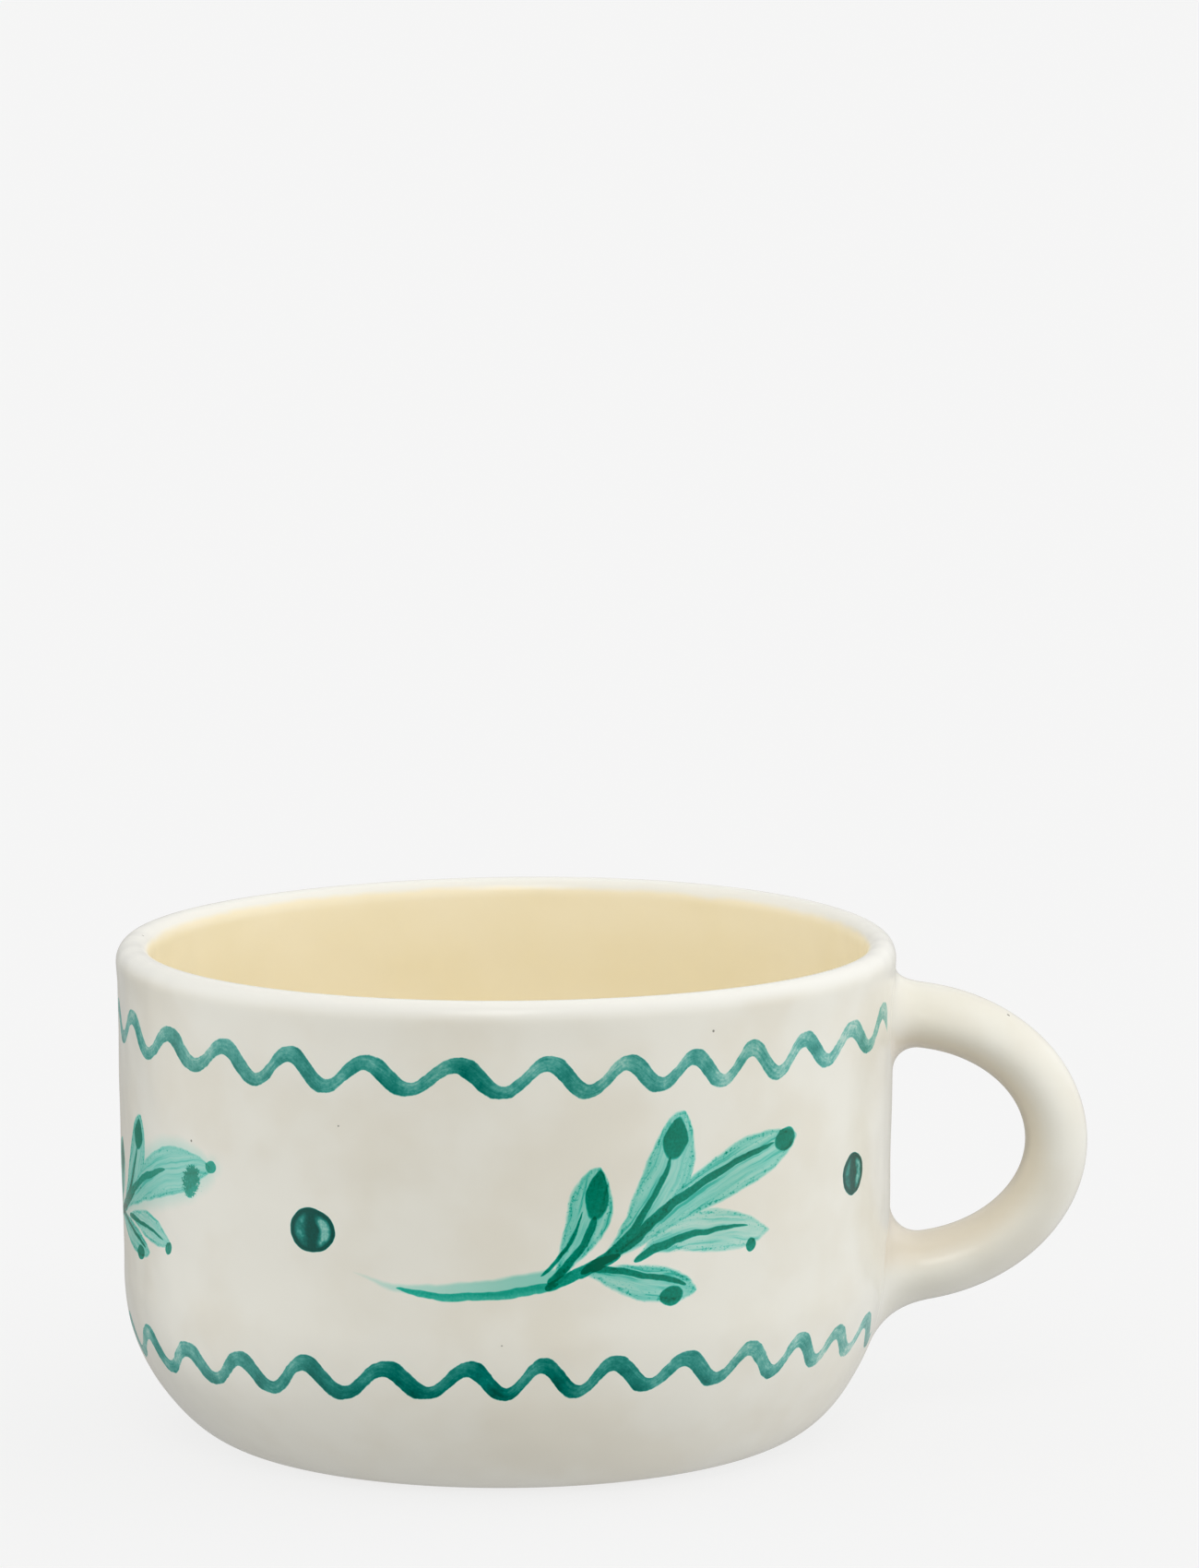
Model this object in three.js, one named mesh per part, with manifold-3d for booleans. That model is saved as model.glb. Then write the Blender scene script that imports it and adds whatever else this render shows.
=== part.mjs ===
// Wide stoneware mug with a pulled ear handle, two glazes and a brushed decoration.
// Millimetres, +Z up. The origin is the centre of the foot, the handle points along +X
// and the front is -Y. Angles around the cup run from the front towards the handle.
import * as THREE from 'three';
import { mergeVertices } from 'three/addons/utils/BufferGeometryUtils.js';
import Module from 'manifold-3d';

const wasm = await Module();
wasm.setup();

// Cup
const bodyRadius = 57.5;
const bodyHeight = 73.5;
const wallThickness = 4.8;
const wallTaper = 0.75; // how much narrower the wall is where the lower curve starts
const baseRadius = 41.7; // where the lower curve meets the underside
const lowerCurveHeight = 24.9;
const lowerCurvePower = 1.73; // 2 would be a quarter of an ellipse
const lipHeight = 3.2;
const lipPower = 2.2;
const floorThickness = 6.5;
const floorRadius = 33;
const innerCurveHeight = 22;
const footRadius = 39.5;
const footProud = 0.4; // the dry foot stands this far below the glazed underside
const glazeThickness = 0.4;
const roundSides = 48;

// Handle
const strapThickness = 9.1;
const strapWidth = 13.6;
const upperRoot = 61.5; // height where the strap leaves the wall
const lowerRoot = 23.4;
const wallBite = 5; // the strap is drawn this far into the wall before it is cut off
const tailDrop = 3; // and its lower end leans down as it goes in
const earPoints = 8; // the ear is half an ellipse through this many steps
const handleReach = 81.4; // centre of the strap at its furthest
const rootSwell = 0.16; // the strap thickens towards the wall
const rootFlare = 0.34; // and is blended out where it meets the wall
const flareLength = 2.2;
const jointLength = 5.5;
const strapSides = 16;
const strapSteps = 40;

// Decoration, with angles in degrees from the front
const paintThickness = 0.25;
const paintClearance = 0.1;
const wavePitch = 12.25; // from crest to crest
const wavePoints = 5; // steps in each wave
const waveAmplitude = 1.9;
const waveStroke = 1.8;
const waveHandleGap = 13; // left free on each side of the handle's middle
const upperWaveHeight = 62.8;
const lowerWaveHeight = 18.3;
const upperCrest = 7.4;
const lowerCrest = 6.3;
const dots = [[-29, 40], [62.5, 43], [136, 42], [-127, 40]]; // angle and height of each
const dotRadius = 3.4;
const dotSides = 14;
const branchAngle = 12.5; // middle of the front branch
const branchTurn = 96; // from one branch to the next
const branchHeights = [38, 33.5, 36]; // front, left and back
const stemWidth = 2.1;
const stemTail = 0.6;
const leafNeck = 1.2; // width of a leaf where it leaves the stem
const leafFullness = 1.4; // above 1 the leaf is widest nearer its tip
const leafPoints = 6;

const gap = 0.3; // between pieces that are cut to fit each other
const mergeDistance = 1e-4;
const handleAngle = 90; // degrees from the front

const glazeWhite = { color: 0xe6e2d8, roughness: 0.16, metalness: 0 };
const glazeCream = { color: 0xecdcb4, roughness: 0.18, metalness: 0 };
const bareClay = { color: 0xd9cdb9, roughness: 0.85, metalness: 0 };
const waveGreen = { color: 0x3a8578, roughness: 0.2, metalness: 0 };
const leafGreen = { color: 0x5aa892, roughness: 0.2, metalness: 0 };
const dotGreen = { color: 0x14675d, roughness: 0.2, metalness: 0 };

const mug = new THREE.Group();
mug.name = 'mug';

function addPart(name, geometry, look) {
  const mesh = new THREE.Mesh(geometry, new THREE.MeshStandardMaterial(look));
  mesh.name = name;
  mug.add(mesh);
}

// Solids and booleans

function toSolid(geometry) {
  const plain = geometry.clone();
  plain.deleteAttribute('normal');
  plain.deleteAttribute('uv');
  const merged = mergeVertices(plain, mergeDistance);
  const mesh = new wasm.Mesh({
    numProp: 3,
    vertProperties: new Float32Array(merged.attributes.position.array),
    triVerts: new Uint32Array(merged.index.array),
  });
  return new wasm.Manifold(mesh);
}

function toGeometry(solid) {
  const mesh = solid.getMesh();
  const geometry = new THREE.BufferGeometry();
  geometry.setAttribute('position', new THREE.BufferAttribute(mesh.vertProperties, 3));
  geometry.setIndex(new THREE.BufferAttribute(mesh.triVerts, 1));
  geometry.computeVertexNormals();
  return geometry;
}

function turned(profile) {
  return new THREE.LatheGeometry(profile, roundSides).rotateX(Math.PI / 2);
}

// Profiles: x is the distance from the axis, y the height

const glazeBase = footProud;
const shoulderRadius = bodyRadius - wallTaper;
const lipMiddle = bodyRadius - wallThickness / 2;

// A quarter turn from (x0, y0), leaving level, to (x1, y1), arriving upright.
function cornerCurve(x0, y0, x1, y1, power, steps) {
  const points = [];
  for (let i = 0; i <= steps; i++) {
    const angle = (i / steps) * (Math.PI / 2);
    const across = Math.sin(angle) ** (2 / power);
    const up = 1 - Math.cos(angle) ** (2 / power);
    points.push(new THREE.Vector2(x0 + (x1 - x0) * across, y0 + (y1 - y0) * up));
  }
  return points;
}

function outerProfile() {
  const shoulder = glazeBase + lowerCurveHeight;
  const lipStart = bodyHeight - lipHeight;
  return [
    ...cornerCurve(baseRadius, glazeBase, shoulderRadius, shoulder, lowerCurvePower, 8),
    ...cornerCurve(lipMiddle, bodyHeight, bodyRadius, lipStart, lipPower, 3).reverse(),
  ];
}

function innerProfile() {
  const inside = bodyRadius - wallThickness;
  const lipEnd = bodyHeight - lipHeight;
  const curveEnd = floorThickness + innerCurveHeight;
  return [
    ...cornerCurve(lipMiddle, bodyHeight, inside, lipEnd, lipPower, 3).slice(1),
    ...cornerCurve(floorRadius, floorThickness, inside - wallTaper, curveEnd, 2, 5).reverse(),
    new THREE.Vector2(0, floorThickness),
  ];
}

// Moves a profile sideways: a positive distance goes to the right of the way it runs.
function offsetProfile(points, distance) {
  return points.map((point, i) => {
    const before = points[Math.max(i - 1, 0)];
    const after = points[Math.min(i + 1, points.length - 1)];
    const along = after.clone().sub(before).normalize();
    return new THREE.Vector2(point.x + along.y * distance, point.y - along.x * distance);
  });
}

// Clay and glaze

const outerSkin = outerProfile();
const innerSkin = innerProfile();
const skin = [...outerSkin, ...innerSkin];
const clay = offsetProfile(skin, -glazeThickness);
clay[clay.length - 1].set(0, floorThickness - glazeThickness);
const glazeBorder = outerSkin.length; // the two glazes meet at this point of the profile

function addBody() {
  const foot = [new THREE.Vector2(0, 0), new THREE.Vector2(footRadius, 0)];
  const underside = new THREE.Vector2(footRadius, clay[0].y);
  addPart('thrown_body', turned([...foot, underside, ...clay]), bareClay);
}

function addGlazes() {
  const outerClay = clay.slice(0, glazeBorder + 1).reverse();
  const outerCoat = [...skin.slice(0, glazeBorder + 1), ...outerClay, skin[0]];
  addPart('outer_glaze', turned(outerCoat), glazeWhite);
  const liner = [...clay.slice(glazeBorder).reverse(), ...skin.slice(glazeBorder)];
  addPart('liner_glaze', turned(liner), glazeCream);
}

// A full solid of the cup's outside, grown by a distance, to cut other pieces with.
function cupBlank(distance) {
  const grown = offsetProfile(outerSkin, distance);
  const top = grown[grown.length - 1].y;
  return toSolid(turned([new THREE.Vector2(0, grown[0].y), ...grown, new THREE.Vector2(0, top)]));
}

// Handle

function handleCurve() {
  const rise = (upperRoot - lowerRoot) / 2;
  const reach = handleReach - bodyRadius;
  const points = [new THREE.Vector3(bodyRadius - wallBite, 0, upperRoot)];
  for (let i = 0; i <= earPoints; i++) {
    const angle = (i / earPoints) * Math.PI;
    const height = lowerRoot + rise * (1 + Math.cos(angle));
    points.push(new THREE.Vector3(bodyRadius + reach * Math.sin(angle), 0, height));
  }
  points.push(new THREE.Vector3(bodyRadius - wallBite, 0, lowerRoot - tailDrop));
  return new THREE.CatmullRomCurve3(points);
}

function strapGeometry() {
  const section = new THREE.Shape();
  section.absellipse(0, 0, strapWidth / 2, strapThickness / 2, 0, Math.PI * 2);
  const curve = handleCurve();
  const outline = new THREE.Shape(section.getSpacedPoints(strapSides).slice(0, -1));
  const options = { steps: strapSteps, extrudePath: curve, bevelEnabled: false };
  const strap = new THREE.ExtrudeGeometry(outline, options);
  swellRoots(strap, curve.getSpacedPoints(strapSteps));
  return strap;
}

// Scales each ring of the strap about its centre, more the nearer it is to the wall.
function swellRoots(strap, centres) {
  const position = strap.attributes.position;
  const point = new THREE.Vector3();
  for (let i = 0; i < position.count; i++) {
    point.fromBufferAttribute(position, i);
    const centre = nearestPoint(centres, point);
    const fromWall = Math.max(centre.x - bodyRadius, 0);
    const reach = handleReach - bodyRadius;
    const swell = rootSwell * (1 - fromWall / reach) + rootFlare * Math.exp(-fromWall / flareLength);
    point.sub(centre).multiplyScalar(1 + swell).add(centre);
    position.setXYZ(i, point.x, point.y, point.z);
  }
}

function nearestPoint(candidates, point) {
  let best = candidates[0];
  for (const candidate of candidates) {
    if (candidate.distanceToSquared(point) < best.distanceToSquared(point)) best = candidate;
  }
  return best;
}

function addHandle() {
  const strap = toSolid(strapGeometry());
  const roots = strap.intersect(cupBlank(jointLength)).subtract(cupBlank(gap));
  const bottom = solid => solid.boundingBox().min[2];
  const [lower, upper] = roots.decompose().sort((a, b) => bottom(a) - bottom(b));
  addPart('handle', toGeometry(strap.subtract(cupBlank(jointLength + gap))), glazeWhite);
  addPart('upper_handle_joint', toGeometry(upper), glazeWhite);
  addPart('lower_handle_joint', toGeometry(lower), glazeWhite);
}

// Decoration: strokes are drawn flat, x along the wall from the front towards the handle,
// y the height and z the paint's thickness, and are then wrapped around the cup.

// The cup's outside radius at a height.
function skinRadius(height) {
  const up = (height - glazeBase) / lowerCurveHeight;
  if (up >= 1) {
    const wallHeight = bodyHeight - lipHeight - glazeBase - lowerCurveHeight;
    return shoulderRadius + wallTaper * (up - 1) * lowerCurveHeight / wallHeight;
  }
  const cosine = (1 - up) ** (lowerCurvePower / 2);
  const across = (1 - cosine ** 2) ** (1 / lowerCurvePower);
  return baseRadius + (shoulderRadius - baseRadius) * across;
}

function wrapAround(geometry) {
  const position = geometry.attributes.position;
  for (let i = 0; i < position.count; i++) {
    const height = position.getY(i);
    const angle = position.getX(i) / bodyRadius;
    const radius = skinRadius(height) + paintClearance + position.getZ(i);
    position.setXYZ(i, radius * Math.sin(angle), -radius * Math.cos(angle), height);
  }
  return geometry;
}

function along(degrees) {
  return THREE.MathUtils.degToRad(degrees) * bodyRadius;
}

// One brush stroke: a long thin box bent along a line of points, as wide as the brush is
// at each t from 0 to 1.
function stroke(line, width, rows) {
  const box = new THREE.BoxGeometry(1, 1, paintThickness, line.length - 1, rows, 1);
  const position = box.translate(0.5, 0, paintThickness / 2).attributes.position;
  for (let i = 0; i < position.count; i++) {
    const t = position.getX(i);
    const at = Math.round(t * (line.length - 1));
    const run = line[Math.min(at + 1, line.length - 1)].clone().sub(line[Math.max(at - 1, 0)]).normalize();
    const across = position.getY(i) * width(t);
    position.setXY(i, line[at].x - run.y * across, line[at].y + run.x * across);
  }
  return wrapAround(box);
}

function addWave(name, height, crest) {
  const first = handleAngle - 360 + waveHandleGap;
  const last = handleAngle - waveHandleGap;
  const steps = Math.round((last - first) / wavePitch * wavePoints);
  const line = [];
  for (let i = 0; i <= steps; i++) {
    const degrees = first + (last - first) * i / steps;
    const turn = (degrees - crest) / wavePitch * 2 * Math.PI;
    line.push(new THREE.Vector2(along(degrees), height + waveAmplitude * Math.cos(turn)));
  }
  addPart(name, stroke(line, () => waveStroke, 1), waveGreen);
}

function addDot(name, degrees, height) {
  const drop = new THREE.CylinderGeometry(dotRadius, dotRadius, paintThickness, dotSides);
  drop.rotateX(Math.PI / 2).translate(along(degrees), height, paintThickness / 2);
  addPart(name, wrapAround(drop), dotGreen);
}

// One leaf: a long drop from the stem to its tip, widest beyond the middle of its length.
function leaf(root, tip, width) {
  const line = [];
  for (let i = 0; i <= leafPoints; i++) line.push(root.clone().lerp(tip, i / leafPoints));
  const drop = t => leafNeck + (width - leafNeck) * Math.sin(Math.PI * t ** leafFullness);
  return toSolid(stroke(line, drop, 2));
}

// A branch: a bowed stem and five leaves. Places are measured from the branch's middle.
function addBranch(name, degrees, height) {
  const at = (x, y) => new THREE.Vector2(along(degrees) + x, height + y);
  const bow = new THREE.QuadraticBezierCurve(at(-34, -4), at(-17, -9.5), at(0, -3));
  const leaves = [
    leaf(at(-6.5, -5), at(1, 11), 6.2),
    leaf(at(-1.5, -3.5), at(13, 18.2), 7),
    leaf(at(-1, -3.5), at(33.5, 12.6), 6.8),
    leaf(at(3, -2.5), at(28, 0.4), 5.6),
    leaf(at(-1.5, -3.5), at(15, -6.6), 5),
  ];
  const stem = toSolid(stroke(bow.getPoints(8), t => stemTail + (stemWidth - stemTail) * t, 1));
  addPart(name, toGeometry(leaves.reduce((sum, one) => sum.add(one), stem)), leafGreen);
}

function addDecoration() {
  addWave('upper_wave_line', upperWaveHeight, upperCrest);
  addWave('lower_wave_line', lowerWaveHeight, lowerCrest);
  const branchNames = ['front_branch', 'left_branch', 'back_branch'];
  branchNames.forEach((name, i) => addBranch(name, branchAngle - branchTurn * i, branchHeights[i]));
  dots.forEach(([degrees, height], i) => addDot(`dot_${i + 1}`, degrees, height));
}

addBody();
addGlazes();
addHandle();
addDecoration();

export default mug;
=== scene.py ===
"""A wide stoneware mug: white glaze outside, cream glaze inside, brushed green decoration.

Every length in the shape code is in metres. The paint is drawn in millimetres: along the wall
from the front towards the handle, and up from the table.
"""
import math

import bpy
import numpy as np
from mathutils import Matrix, Vector


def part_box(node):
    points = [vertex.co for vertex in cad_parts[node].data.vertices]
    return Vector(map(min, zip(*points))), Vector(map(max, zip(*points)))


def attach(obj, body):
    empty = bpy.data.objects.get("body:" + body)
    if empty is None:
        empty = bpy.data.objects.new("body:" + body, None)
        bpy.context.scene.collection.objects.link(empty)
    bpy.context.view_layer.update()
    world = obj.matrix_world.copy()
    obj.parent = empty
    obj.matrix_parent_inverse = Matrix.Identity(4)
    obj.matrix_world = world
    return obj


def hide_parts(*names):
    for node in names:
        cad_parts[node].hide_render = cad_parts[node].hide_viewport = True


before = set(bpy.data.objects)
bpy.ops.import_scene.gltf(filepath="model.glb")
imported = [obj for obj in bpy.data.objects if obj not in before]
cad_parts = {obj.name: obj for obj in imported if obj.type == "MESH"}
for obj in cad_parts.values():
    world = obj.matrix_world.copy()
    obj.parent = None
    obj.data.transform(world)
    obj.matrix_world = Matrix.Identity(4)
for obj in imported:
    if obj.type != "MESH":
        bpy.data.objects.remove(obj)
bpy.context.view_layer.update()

MM = 0.001

# ---------------------------------------------------------------- sizes, from the frame
GLAZE_LOW, GLAZE_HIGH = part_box("outer_glaze")
LINER_LOW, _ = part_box("liner_glaze")
_, CLAY_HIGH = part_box("thrown_body")
_, HANDLE_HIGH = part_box("handle")

RIM_RADIUS = GLAZE_HIGH[0]
CUP_HEIGHT = GLAZE_HIGH[2]
GLAZE_BASE = GLAZE_LOW[2]               # height of the white glaze's lower edge
COAT = GLAZE_HIGH[0] - CLAY_HIGH[0]     # thickness of the glaze
FLOOR_HEIGHT = LINER_LOW[2] + COAT      # height of the glazed floor inside

# ---------------------------------------------------------------- sizes that the frame doesn't give
WALL = 4.8 * MM                         # thickness just under the lip
WALL_LEAN = 0.75 * MM                   # how much further out the wall is at the lip than lower down
BASE_RADIUS = RIM_RADIUS - 15.8 * MM    # where the white glaze ends above the foot
FOOT_RADIUS = RIM_RADIUS - 18 * MM
FOOT_EDGE = 0.35 * MM
LOWER_CURVE = 24.9 * MM
LOWER_CURVE_POWER = 1.73
LIP_HEIGHT = 3.2 * MM
LIP_POWER = 2.2
LIP_FADE = 9 * MM                       # how far down the wall follows the lip's rise and dip
INNER_CURVE = 22 * MM
INNER_CURVE_POWER = 2
FLOOR_RADIUS = 33 * MM
OFF_CENTRE = 0.55 * MM                  # the hollow is thrown this far off centre, towards the handle

# ---------------------------------------------------------------- how finely things are cut up
SEGMENTS = 360
CLAY_SEGMENTS = 120
LOWER_CURVE_STEPS = 44
WALL_STEPS = 46
LIP_STEPS = 16                          # for each side of the lip
INNER_WALL_STEPS = 26
INNER_CURVE_STEPS = 24
FLOOR_STEPS = 10
GLAZE_BACK_STEP = 6                     # the coats' hidden backs keep one ring in this many
LINER_BACK_STEP = 4
CLAY_STEP = 3
SHARP_DEGREES = 40                      # edges sharper than this stay sharp


# ---------------------------------------------------------------- cup profile
def corner(start, end, power, steps):
    """A quarter turn from start, leaving level, to end, arriving upright."""
    t = np.linspace(0, math.pi / 2, steps + 1)
    across = np.sin(t) ** (2 / power)
    up = 1 - np.cos(t).clip(0) ** (2 / power)
    radius = start[0] + (end[0] - start[0]) * across
    height = start[1] + (end[1] - start[1]) * up
    return np.column_stack([radius, height])


def straight(start, end, steps):
    """Evenly spaced points between two points, without either end."""
    t = np.linspace(0, 1, steps + 1)[1:-1, None]
    return np.array(start) * (1 - t) + np.array(end) * t


SHOULDER = np.array([RIM_RADIUS - WALL_LEAN, GLAZE_BASE + LOWER_CURVE])
LIP_TOP = np.array([RIM_RADIUS - WALL / 2, CUP_HEIGHT])
LIP_OUTSIDE = np.array([RIM_RADIUS, CUP_HEIGHT - LIP_HEIGHT])
LIP_INSIDE = np.array([RIM_RADIUS - WALL, CUP_HEIGHT - LIP_HEIGHT])
INNER_SHOULDER = np.array([RIM_RADIUS - WALL - WALL_LEAN, FLOOR_HEIGHT + INNER_CURVE])
FLOOR_EDGE = (FLOOR_RADIUS, FLOOR_HEIGHT)


def outer_profile():
    """The white glaze's surface, from the edge above the foot to the top of the lip."""
    return np.vstack([
        corner((BASE_RADIUS, GLAZE_BASE), SHOULDER, LOWER_CURVE_POWER, LOWER_CURVE_STEPS),
        straight(SHOULDER, LIP_OUTSIDE, WALL_STEPS),
        corner(LIP_TOP, LIP_OUTSIDE, LIP_POWER, LIP_STEPS)[::-1],
    ])


def inner_profile():
    """The inside's surface, from the top of the lip to the middle of the floor."""
    return np.vstack([
        corner(LIP_TOP, LIP_INSIDE, LIP_POWER, LIP_STEPS)[1:],
        straight(LIP_INSIDE, INNER_SHOULDER, INNER_WALL_STEPS),
        corner(FLOOR_EDGE, INNER_SHOULDER, INNER_CURVE_POWER, INNER_CURVE_STEPS)[::-1],
        straight(FLOOR_EDGE, (0, FLOOR_HEIGHT), FLOOR_STEPS),
    ])


def offset_profile(points, distance):
    """The profile moved sideways: a positive distance goes to the right of the way it runs."""
    along = np.gradient(points, axis=0)
    along /= np.linalg.norm(along, axis=1, keepdims=True)
    return points + distance * np.column_stack([along[:, 1], -along[:, 0]])


# ---------------------------------------------------------------- hand-made unevenness
def outer_wobble(angle, height):
    """How far the thrown wall stands out, in metres. The waves below are in millimetres."""
    z = height / MM
    oval = 0.09 * np.sin(2 * angle + 0.6)
    dents = 0.055 * np.sin(3 * angle + z / 9 + 1.0) + 0.05 * np.sin(5 * angle - z / 7.5 + 2.2)
    dimples = 0.03 * np.sin(8 * angle + z / 5 + 0.4) * np.sin(z / 6.5 + 3 * angle)
    rings = 0.018 * np.sin(z / 1.9 + angle)
    belly = (0.3 - 0.5 * np.sin(angle)) * np.exp(-((z - 14) / 9) ** 2)
    out = oval + dents + dimples + rings - 0.17 + belly
    low_fade = np.clip((z - 1.0) / 8, 0, 1)
    high_fade = np.clip((CUP_HEIGHT / MM - z) / 6, 0.35, 1)
    return out * low_fade * high_fade * MM


def lip_wobble(angle):
    """How far the lip's height wanders, in metres; never above the CAD lip."""
    return (0.16 * np.sin(2 * angle + 2.4) + 0.1 * np.sin(3 * angle + 0.3) - 0.26) * MM


def inner_wobble(angle, height):
    """How far the inside stands out, in metres, with the rings that a potter's fingers leave."""
    z = height / MM
    rings = 0.07 * np.sin(z / 2.4 + 0.8 * angle)
    return (0.12 * np.sin(2 * angle + 1.9) + 0.08 * np.sin(3 * angle - z / 11) + rings) * MM


# ---------------------------------------------------------------- mesh helpers
def make_piece(name, vertices, faces):
    """A smooth mesh object in the scene."""
    mesh = bpy.data.meshes.new(name)
    mesh.from_pydata([tuple(v) for v in vertices], [], [tuple(f) for f in faces])
    mesh.polygons.foreach_set("use_smooth", [True] * len(mesh.polygons))
    mesh.set_sharp_from_angle(angle=math.radians(SHARP_DEGREES))
    mesh.validate()
    piece = bpy.data.objects.new(name, mesh)
    bpy.context.scene.collection.objects.link(piece)
    return piece


def band_faces(rings, sides, closed):
    """Quads between each ring of vertices and the next, all rings having the same sides."""
    faces = []
    pairs = [(i, i + 1) for i in range(rings - 1)]
    if closed:
        pairs.append((rings - 1, 0))
    for low, high in pairs:
        for j in range(sides):
            k = (j + 1) % sides
            faces.append((low * sides + j, low * sides + k, high * sides + k, high * sides + j))
    return faces


def solid_from_rings(name, rings, first_point=None, last_point=None):
    """A closed solid through rings of points. Without end points it closes on itself, like a tyre."""
    count, sides = rings.shape[:2]
    vertices = [tuple(p) for p in rings.reshape(-1, 3)]
    faces = band_faces(count, sides, closed=first_point is None)
    if first_point is not None:
        first, last = len(vertices), len(vertices) + 1
        vertices += [tuple(first_point), tuple(last_point)]
        top = (count - 1) * sides
        for j in range(sides):
            k = (j + 1) % sides
            faces.append((first, k, j))
            faces.append((last, top + j, top + k))
    return make_piece(name, vertices, faces)


def turned_rings(profile, side, segments=SEGMENTS):
    """Rings of points around the axis. side is 0 where they follow the outer wobble, 1 the inner."""
    angle = np.linspace(0, 2 * math.pi, segments, endpoint=False)[None, :]
    radius = profile[:, :1] + np.zeros_like(angle)
    height = profile[:, 1:] + np.zeros_like(angle)
    outer = outer_wobble(angle, height)
    inner = inner_wobble(angle, height)
    share = side[:, None]
    depth = np.clip(radius / RIM_RADIUS, 0, 1)
    radius = radius + (1 - share) * outer + share * inner * depth
    near_lip = np.clip((height - (CUP_HEIGHT - LIP_FADE)) / LIP_FADE, 0, 1)
    height = height + lip_wobble(angle) * near_lip * near_lip * (3 - 2 * near_lip)
    shift = OFF_CENTRE * share * depth
    x = radius * np.sin(angle) + shift
    y = -radius * np.cos(angle)
    return np.stack([x, y, height], axis=-1)


# ---------------------------------------------------------------- the cup
OUTER = outer_profile()
INNER = inner_profile()
SKIN = np.vstack([OUTER, INNER])
CLAY = offset_profile(SKIN, -COAT)
LIP_INDEX = len(OUTER) - 1
# 0 on the outside, 1 on the inside, and an even change over the lip
INSIDE_SHARE = np.clip((np.arange(len(SKIN)) - (LIP_INDEX - LIP_STEPS)) / (2 * LIP_STEPS), 0, 1)
BORDER = LIP_INDEX + LIP_STEPS // 2     # the white glaze ends here and the cream one starts


def add_outer_glaze():
    """The white coat, over the outside and the top of the lip."""
    profile = SKIN[:BORDER + 1]
    under = CLAY[:BORDER + 1]
    side = INSIDE_SHARE[:BORDER + 1]
    skin = turned_rings(profile, side)
    back = turned_rings(under[::-GLAZE_BACK_STEP], side[::-GLAZE_BACK_STEP])
    return solid_from_rings("outer_glaze_coat", np.concatenate([skin, back]))


def add_liner_glaze():
    """The cream coat, over the inside and its floor."""
    profile = SKIN[BORDER:]
    under = CLAY[BORDER:]
    side = INSIDE_SHARE[BORDER:]
    skin = turned_rings(profile, side)[::-1]
    back = turned_rings(under[::LINER_BACK_STEP], side[::LINER_BACK_STEP])
    top = (0, 0, FLOOR_HEIGHT)
    bottom = (0, 0, FLOOR_HEIGHT - COAT)
    return solid_from_rings("liner_glaze_coat", np.concatenate([skin, back]), top, bottom)


def add_clay_body():
    """The clay between the two coats, with its dry foot."""
    foot = np.array([
        (FOOT_RADIUS * 0.3, 0),
        (FOOT_RADIUS * 0.6, 0),
        (FOOT_RADIUS * 0.9, 0),
        (FOOT_RADIUS - FOOT_EDGE, 0),
        (FOOT_RADIUS - FOOT_EDGE * 0.3, FOOT_EDGE * 0.3),
        (FOOT_RADIUS, FOOT_EDGE),
        (FOOT_RADIUS, CLAY[0, 1]),
    ])
    share = np.concatenate([np.zeros(len(foot)), INSIDE_SHARE[::CLAY_STEP]])
    rings = turned_rings(np.vstack([foot, CLAY[::CLAY_STEP]]), share, CLAY_SEGMENTS)
    return solid_from_rings("clay_body", rings, (0, 0, 0), (0, 0, FLOOR_HEIGHT - COAT))


# ---------------------------------------------------------------- the handle
HANDLE_SIDES = 64
STRAP_STATIONS = 96
BLEND_RINGS = 14
UPPER_ROOT = 61.5 * MM                  # heights of the ear's two ends at the wall
LOWER_ROOT = 23.4 * MM
STRAP_FIRST = 0.055                     # before and after these shares of the ear the blends take over
STRAP_LAST = 0.935
STRAP_HALF_WIDTH = 6.7 * MM
STRAP_HALF_THICKNESS = 4.45 * MM
SIDE_THICKNESS = 1.035 * STRAP_HALF_THICKNESS   # half thickness where the ear reaches out furthest
SIDE_GAP = 0.05 * MM                    # kept free there, inside the CAD box
EAR_REACH = HANDLE_HIGH[0] - RIM_RADIUS - SIDE_THICKNESS - SIDE_GAP
EAR_RISE = (UPPER_ROOT - LOWER_ROOT) / 2
END_SWELL = 0.08                        # the strap is thicker and wider at its ends
LOWER_SWELL = 0.06                      # and thicker still at the lower one
END_WIDENING = 0.16
OUTER_NARROWING = 0.06                  # its outer half is a little narrower than its inner half
STRAP_LEAN = 0.35 * MM                  # how far the strap wanders to either side
UPPER_BLEND = 3.2 * MM                  # how far the clay is smoothed out around each root
LOWER_BLEND = 5.6 * MM
UPPER_BLEND_HEIGHT = UPPER_ROOT - 0.4 * MM
LOWER_BLEND_HEIGHT = LOWER_ROOT - 0.6 * MM
LOWER_DROP = 1.2 * MM                   # the lower blend runs this much further down the wall
BLEND_PULL = 1.25                       # how strongly a blend holds the directions of strap and wall
BLEND_SINK = 0.3 * MM                   # how deep a blend's last ring lies in the wall
END_DEPTH = 3 * MM                      # how deep in the wall the handle is closed


def skin_radius(height):
    """The outer profile's radius at a height below the lip."""
    below_lip = OUTER[:LIP_INDEX - LIP_STEPS + 1]
    return np.interp(height, below_lip[:, 1], below_lip[:, 0])


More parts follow.
